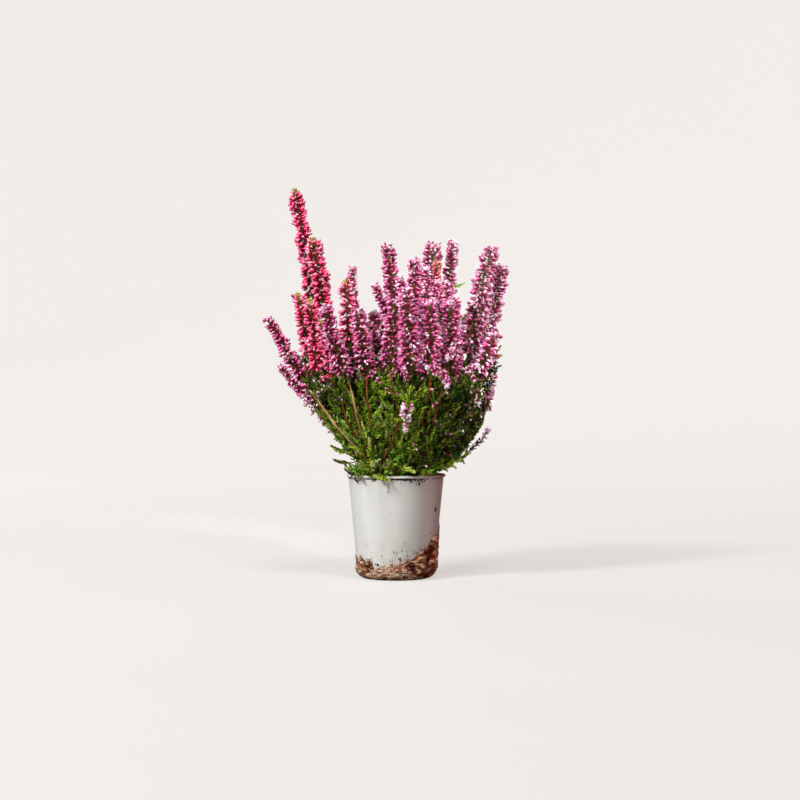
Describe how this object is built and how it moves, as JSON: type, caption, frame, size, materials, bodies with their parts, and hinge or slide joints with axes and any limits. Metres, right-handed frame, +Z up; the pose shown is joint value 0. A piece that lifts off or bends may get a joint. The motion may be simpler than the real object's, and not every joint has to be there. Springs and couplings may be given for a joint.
{
  "type": "potted heather",
  "caption": "Bushy heather with upright racemes of crimson and mauve buds above woody stems with scale-like leaves, in a tapered white nursery pot whose foot is matted with roots.",
  "frame": {"origin": "centre of the flat underside, on the axis of the pot", "axes": "+Z up the axis of the pot, -Y towards the viewed front, +X to its right"},
  "size_m": [0.22, 0.1745, 0.3532],
  "materials": {
    "pot_plastic": "thin white moulded plastic, satin, soiled in places",
    "compost": "moist dark peat compost, crumbly and dull",
    "matted_roots": "fine brown roots matted with compost, dull",
    "leafy_stem": "reddish brown twigs hidden by fresh green scale leaves",
    "floret_crimson": "waxy crimson pink bells",
    "floret_coral": "waxy coral pink bells",
    "floret_mauve": "waxy mauve bells with pale tips"
  },
  "bodies": {
    "root": {"leafy_stem_coral_small": "leafy_stem", "leafy_stem_crimson_front": "leafy_stem", "leafy_stem_crimson_mid": "leafy_stem", "leafy_stem_crimson_tall": "leafy_stem", "leafy_stem_mauve_apron": "leafy_stem", "leafy_stem_mauve_centre": "leafy_stem", "leafy_stem_mauve_corner": "leafy_stem", "leafy_stem_mauve_droop": "leafy_stem", "leafy_stem_mauve_front": "leafy_stem", "leafy_stem_mauve_left": "leafy_stem", "leafy_stem_mauve_peak": "leafy_stem", "leafy_stem_mauve_rear": "leafy_stem", "leafy_stem_mauve_rear_left": "leafy_stem", "leafy_stem_mauve_rear_right": "leafy_stem", "leafy_stem_mauve_right": "leafy_stem", "leafy_stem_mauve_slender": "leafy_stem", "leafy_stem_mauve_slim": "leafy_stem", "leafy_stem_mauve_sparse": "leafy_stem", "pot": "pot_plastic", "raceme_coral_small": "floret_coral", "raceme_crimson_front": "floret_crimson", "raceme_crimson_hang": "floret_crimson", "raceme_crimson_inner": "floret_crimson", "raceme_crimson_low": "floret_crimson", "raceme_crimson_mid": "floret_crimson", "raceme_crimson_tall": "floret_crimson", "raceme_mauve_apron": "floret_mauve", "raceme_mauve_centre": "floret_mauve", "raceme_mauve_centre_back": "floret_mauve", "raceme_mauve_corner": "floret_mauve", "raceme_mauve_droop": "floret_mauve", "raceme_mauve_front": "floret_mauve", "raceme_mauve_front_right": "floret_mauve", "raceme_mauve_inner": "floret_mauve", "raceme_mauve_lap": "floret_mauve", "raceme_mauve_left": "floret_mauve", "raceme_mauve_left_back": "floret_mauve", "raceme_mauve_left_low": "floret_mauve", "raceme_mauve_notch": "floret_mauve", "raceme_mauve_peak": "floret_mauve", "raceme_mauve_peak_back": "floret_mauve", "raceme_mauve_rear": "floret_mauve", "raceme_mauve_rear_far": "floret_mauve", "raceme_mauve_rear_far_right": "floret_mauve", "raceme_mauve_rear_left": "floret_mauve", "raceme_mauve_rear_left_far": "floret_mauve", "raceme_mauve_rear_peak": "floret_mauve", "raceme_mauve_rear_right": "floret_mauve", "raceme_mauve_rear_side": "floret_mauve", "raceme_mauve_right": "floret_mauve", "raceme_mauve_right_back": "floret_mauve", "raceme_mauve_right_low": "floret_mauve", "raceme_mauve_shoulder": "floret_mauve", "raceme_mauve_slender": "floret_mauve", "raceme_mauve_slim": "floret_mauve", "raceme_mauve_sparse": "floret_mauve", "raceme_mauve_twig": "floret_mauve", "root_mat": "matted_roots", "soil": "compost"}
  },
  "joints": []
}
